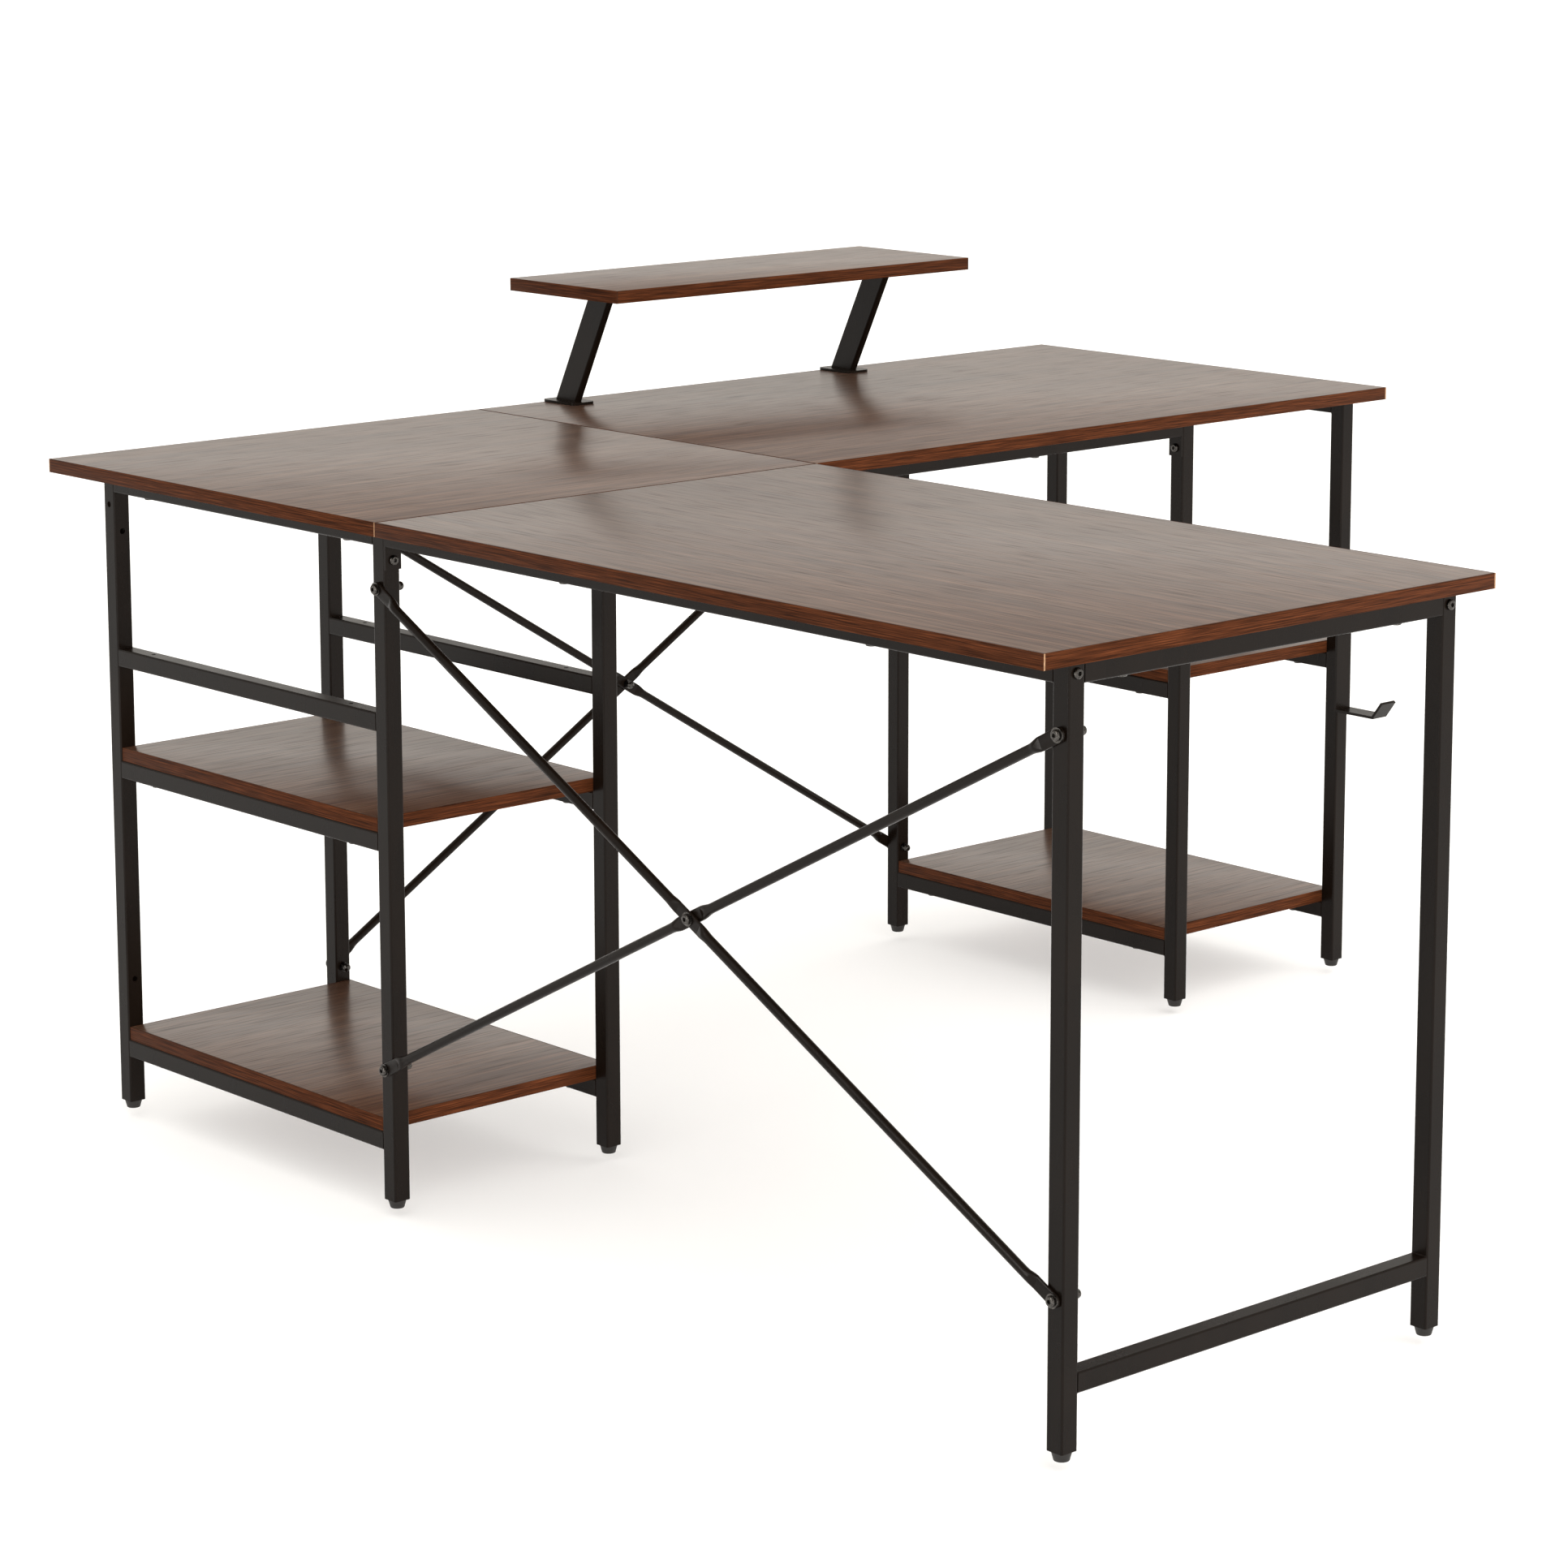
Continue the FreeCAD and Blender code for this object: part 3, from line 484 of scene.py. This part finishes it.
def brace_rings(run, offset):
    """Rings along a brace bar: (place, set-off, facet, crown, reach, creased)."""
    rings = []
    for step in range(7):
        angle = math.pi / 2.0 * step / 6.0
        reach = max(FLAT_HALF_WIDE * math.sin(angle), TIP_REACH)
        place = -FLAT_HALF_WIDE * math.cos(angle)
        rings.append((place, 0.0, reach - FLAT_HALF_THICK, FLAT_HALF_THICK, reach, False))
    rings += neck_rings(END_FLAT, 1.0, offset)
    middle = neck_rings(run / 2.0 - MIDDLE_FLAT / 2.0, -1.0, offset)
    rings += [(place, offset, *section) for place, _, *section in middle[::-1]]
    mirrored = [(run - ring[0], *ring[1:]) for ring in rings]
    return rings + mirrored[::-1]


def make_brace(node, start, end, outward, offset):
    """A brace bar: round tube, pressed flat at both ends and where it crosses the other bar."""
    along = (end - start).normalized()
    across = outward.cross(along)
    mesh = bpy.data.meshes.new(node + "_bar")
    shape = bmesh.new()
    rings = []
    for place, out, facet, crown, reach, creased in brace_rings((end - start).length, offset):
        centre = start + along * place + outward * out
        ring = [
            shape.verts.new(centre + across * side + outward * depth)
            for side, depth in bar_section(facet, crown, reach)
        ]
        rings.append((ring, creased, facet))
    for (first, _, first_facet), (last, _, last_facet) in zip(rings, rings[1:]):
        sloping = abs(first_facet - last_facet) > mm(0.1)
        for step in range(len(first)):
            after = (step + 1) % len(first)
            face = shape.faces.new((first[step], first[after], last[after], last[step]))
            face.smooth = True
        for step in FACET_SIDES:
            edge = shape.edges.get((first[step], last[step]))
            if sloping and edge:
                edge.smooth = False
    for ring, creased, _ in rings:
        for step in FACET_STEPS:
            edge = shape.edges.get((ring[step], ring[step + 1]))
            if creased and edge:
                edge.smooth = False
    shape.faces.new(rings[0][0][::-1]).smooth = True
    shape.faces.new(rings[-1][0]).smooth = True
    bmesh.ops.recalc_face_normals(shape, faces=shape.faces)
    shape.to_mesh(mesh)
    shape.free()
    mesh.materials.append(powder_coat)
    bar = new_object(node + "_bar", mesh)
    finish_piece(bar, "desk", "black_powder_coat", node)


def make_braces():
    """Two crossed pairs. In each pair one bar is set out where they cross, and the other in."""
    wall_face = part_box("corner_leg_front")[0].y - FLAT_HALF_THICK
    back_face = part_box("corner_leg_back")[0].x - FLAT_HALF_THICK
    for node, falling, offset in (
        ("side_brace_falling", True, FLAT_HALF_THICK),
        ("side_brace_rising", False, -FLAT_HALF_THICK),
        ("main_brace_falling", True, -FLAT_HALF_THICK),
        ("main_brace_rising", False, FLAT_HALF_THICK),
    ):
        low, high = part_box(node)
        reach = FLAT_HALF_WIDE
        first_z, last_z = high.z - reach, low.z + reach
        if not falling:
            first_z, last_z = last_z, first_z
        if node.startswith("side"):
            start = Vector((low.x + reach, wall_face, first_z))
            end = Vector((high.x - reach, wall_face, last_z))
            outward = Vector((0.0, -1.0, 0.0))
        else:
            start = Vector((back_face, low.y + reach, first_z))
            end = Vector((back_face, high.y - reach, last_z))
            outward = Vector((-1.0, 0.0, 0.0))
        make_brace(node, start, end, outward, offset)


TUBE = mm(20.0)
LOW_RAIL_TOP = mm(82.0)
MID_RAIL_TOP = mm(403.0)
SPARE_RAIL_TOP = mm(530.0)


def weld_lines():
    """Where rails are welded to legs: (start, end) of each joint line.

    Every rail is welded below. The spare rails and the stretcher, which carry no board, are also
    welded above.
    """
    lines = []
    margin = mm(2.2)
    for frame_name in ("corner_outer", "corner_inner", "end_inner", "end_outer"):
        low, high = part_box(frame_name + "_rails")
        heights = [rail_top - TUBE for rail_top in (LOW_RAIL_TOP, MID_RAIL_TOP, SPARE_RAIL_TOP)]
        heights += [SPARE_RAIL_TOP, high.z - TUBE]
        for z in heights:
            for x in (low.x, high.x):
                lines.append((Vector((x, low.y + margin, z)), Vector((x, high.y - margin, z))))
    for node, both in (("side_end_rail", False), ("side_end_stretcher", True)):
        low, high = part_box(node)
        for z in ([low.z, high.z] if both else [low.z]):
            for y in (low.y, high.y):
                lines.append((Vector((low.x + margin, y, z)), Vector((high.x - margin, y, z))))
    return lines


def make_weld_tree():
    """Geometry Nodes: ripples of weld metal at an even pitch along every line of the mesh."""
    tree = bpy.data.node_groups.new("weld ripples", "GeometryNodeTree")
    face = tree.interface
    face.new_socket("Geometry", in_out="OUTPUT", socket_type="NodeSocketGeometry")
    face.new_socket("Geometry", in_out="INPUT", socket_type="NodeSocketGeometry")
    for name in ("Pitch", "Bead Radius"):
        face.new_socket(name, in_out="INPUT", socket_type="NodeSocketFloat")
    face.new_socket("Material", in_out="INPUT", socket_type="NodeSocketMaterial")
    given = add_node(tree, "NodeGroupInput")
    curve = add_node(tree, "GeometryNodeMeshToCurve", links={"Mesh": (given, "Geometry")})
    points = add_node(
        tree,
        "GeometryNodeCurveToPoints",
        links={"Curve": (curve, "Curve"), "Length": (given, "Pitch")},
        mode="LENGTH",
    )
    bead = add_node(
        tree,
        "GeometryNodeMeshUVSphere",
        {"Segments": 8, "Rings": 6},
        {"Radius": (given, "Bead Radius")},
    )
    jitter = add_node(
        tree,
        "FunctionNodeRandomValue",
        {2: 0.8, 3: 1.15, "Seed": 7},
        data_type="FLOAT",
    )
    placed = add_node(
        tree,
        "GeometryNodeInstanceOnPoints",
        links={
            "Points": (points, "Points"),
            "Instance": (bead, "Mesh"),
            "Scale": (jitter, 1),
        },
    )
    real = add_node(tree, "GeometryNodeRealizeInstances", links={"Geometry": (placed, "Instances")})
    smooth = add_node(tree, "GeometryNodeSetShadeSmooth", links={"Geometry": (real, "Geometry")})
    painted = add_node(
        tree,
        "GeometryNodeSetMaterial",
        links={"Geometry": (smooth, "Geometry"), "Material": (given, "Material")},
    )
    add_node(tree, "NodeGroupOutput", links={"Geometry": (painted, "Geometry")})
    return tree


def run_tree(made, tree, values):
    """Runs a Geometry Nodes tree on an object and keeps the result as its plain mesh."""
    modifier = made.modifiers.new("nodes", "NODES")
    modifier.node_group = tree
    for socket in tree.interface.items_tree:
        if socket.item_type == "SOCKET" and socket.in_out == "INPUT" and socket.name in values:
            modifier[socket.identifier] = values[socket.name]
    made.update_tag()
    bpy.context.view_layer.update()
    graph = bpy.context.evaluated_depsgraph_get()
    mesh = bpy.data.meshes.new_from_object(made.evaluated_get(graph), depsgraph=graph)
    made.modifiers.remove(modifier)
    made.data = mesh


def make_welds():
    """Beads of weld metal under the powder coat, where the rails meet the legs."""
    verts = []
    edges = []
    for start, end in weld_lines():
        edges.append((len(verts), len(verts) + 1))
        verts.extend([start, end])
    mesh = bpy.data.meshes.new("frame_weld_beads")
    mesh.from_pydata(verts, edges, [])
    welds = new_object("frame_weld_beads", mesh)
    run_tree(welds, make_weld_tree(), {
        "Pitch": mm(1.3),
        "Bead Radius": mm(1.1),
        "Material": powder_coat,
    })
    finish_piece(welds, "desk", "black_powder_coat")


def make_boards():
    """Grain runs along the main wing on every board but the side wing's top."""
    make_board("corner_top", walnut_along_main, 1.4, "X", band_cut)
    make_board("main_wing_top", walnut_along_main, 2.0, "Y", band_cut)
    make_board("side_wing_top", walnut_along_side, 2.0, "Y", band_cut)
    for shelf in (
        "monitor_shelf", "corner_low_shelf", "corner_mid_shelf", "end_low_shelf", "end_mid_shelf"
    ):
        make_board(shelf, walnut_along_main, 1.5, "Y", band_rim)


make_boards()
make_braces()
make_welds()

# The CAD nodes that stay get their real finish in the slots they came with.
NODE_SLOTS = {row["node"]: row["material_slot"] for row in frame["record"]["subparts"]}
for name, made in frame["nodes"].items():
    for place in made.material_slots:
        place.material = SLOT_MATERIALS[NODE_SLOTS[name]]


# ---- floor, lights and camera

FOOT_TRAVEL = mm(10.0)  # how far a levelling foot screws out
FLOOR_REACH = 60.0


def make_floor():
    """A plain pale studio floor, low enough to show the levelling feet when screwed right out."""
    material, tree, shader = new_material(
        "pale studio floor", Roughness=0.9, Emission_Color=colour("FFFFFF"), Emission_Strength=0.07
    )
    cloud = stretched_noise(tree, 700.0, 700.0, "Z", 2.0, 0.0)
    tone = add_node(tree, "ShaderNodeValToRGB", links={"Fac": (cloud, "Fac")})
    set_ramp(tone, [(0.3, "F8FAFC"), (0.7, "FBFDFF")])
    tree.links.new(tone.outputs["Color"], shader.inputs["Base Color"])
    mesh = bpy.data.meshes.new("studio_floor")
    corners = [
        (x * FLOOR_REACH, y * FLOOR_REACH, -FOOT_TRAVEL)
        for x, y in ((-1, -1), (1, -1), (1, 1), (-1, 1))
    ]
    mesh.from_pydata(corners, [], [(0, 1, 2, 3)])
    mesh.materials.append(material)
    floor = new_object("studio_floor", mesh)


def aim(made, direction):
    """Turns a light to shine along a direction."""
    made.rotation_mode = "QUATERNION"
    made.rotation_quaternion = Vector(direction).to_track_quat("-Z", "Y")


def make_softbox(name, place, direction, width, height, power):
    """A rectangular light that is seen only in reflections."""
    data = bpy.data.lights.new(name, "AREA")
    data.shape = "RECTANGLE"
    data.size = width
    data.size_y = height
    data.energy = power
    data.color = colour("FFFBF7")[:3]
    softbox = new_object(name, data)
    softbox.location = place
    aim(softbox, direction)
    softbox.visible_camera = False
    softbox.visible_diffuse = False


def make_lights():
    """A shadowless key from beyond the side wing's open end, a softbox above and two strips."""
    data = bpy.data.lights.new("key", "SUN")
    data.energy = 3.5
    data.angle = math.radians(90.0)
    data.use_shadow = False
    data.color = colour("FFFBF7")[:3]
    key = new_object("key", data)
    aim(key, (-1.0, 0.12, -0.6))
    key.visible_glossy = False
    make_softbox("overhead_softbox", (0.3, -0.3, 3.4), (0.0, 0.0, -1.0), 2.0, 0.5, 40.0)
    make_softbox("camera_strip", (3.9, -2.6, 0.87), (-1.5, 1.0, 0.0), 0.5, 1.7, 14.0)
    make_softbox("wall_side_strip", (0.3, -3.6, 1.65), (0.0, 1.0, -0.2), 0.35, 3.2, 55.0)


def make_world():
    """Even light from a white studio, a little warm."""
    world = bpy.data.worlds.new("white studio")
    bpy.context.scene.world = world
    world.use_nodes = True
    background = next(n for n in world.node_tree.nodes if n.type == "BACKGROUND")
    background.inputs["Color"].default_value = colour("FFFAF2")
    background.inputs["Strength"].default_value = 0.9


CAMERA_PLACE = (3.40584, -3.42893, 1.4569)
CAMERA_YAW = 2.4123
CAMERA_PITCH = 0.1765
CAMERA_ROLL = -0.0019


def make_camera():
    """Long lens, above the desk top, beyond the outer corner of the side wing."""
    data = bpy.data.cameras.new("camera")
    data.lens = 102.686
    data.sensor_width = 36.0
    data.shift_y = -0.12
    data.clip_end = 200.0
    camera = new_object("camera", data)
    look = Vector((
        math.cos(CAMERA_YAW) * math.cos(CAMERA_PITCH),
        math.sin(CAMERA_YAW) * math.cos(CAMERA_PITCH),
        -math.sin(CAMERA_PITCH),
    ))
    right = Vector((math.sin(CAMERA_YAW), -math.cos(CAMERA_YAW), 0.0))
    up = right.cross(look)
    turned_right = right * math.cos(CAMERA_ROLL) + up * math.sin(CAMERA_ROLL)
    turned_up = up * math.cos(CAMERA_ROLL) - right * math.sin(CAMERA_ROLL)
    turn = Matrix((turned_right, turned_up, -look)).transposed()
    camera.matrix_world = Matrix.Translation(CAMERA_PLACE) @ turn.to_4x4()
    bpy.context.scene.camera = camera


make_floor()
make_lights()
make_world()
make_camera()
bpy.context.scene.view_settings.view_transform = "Standard"
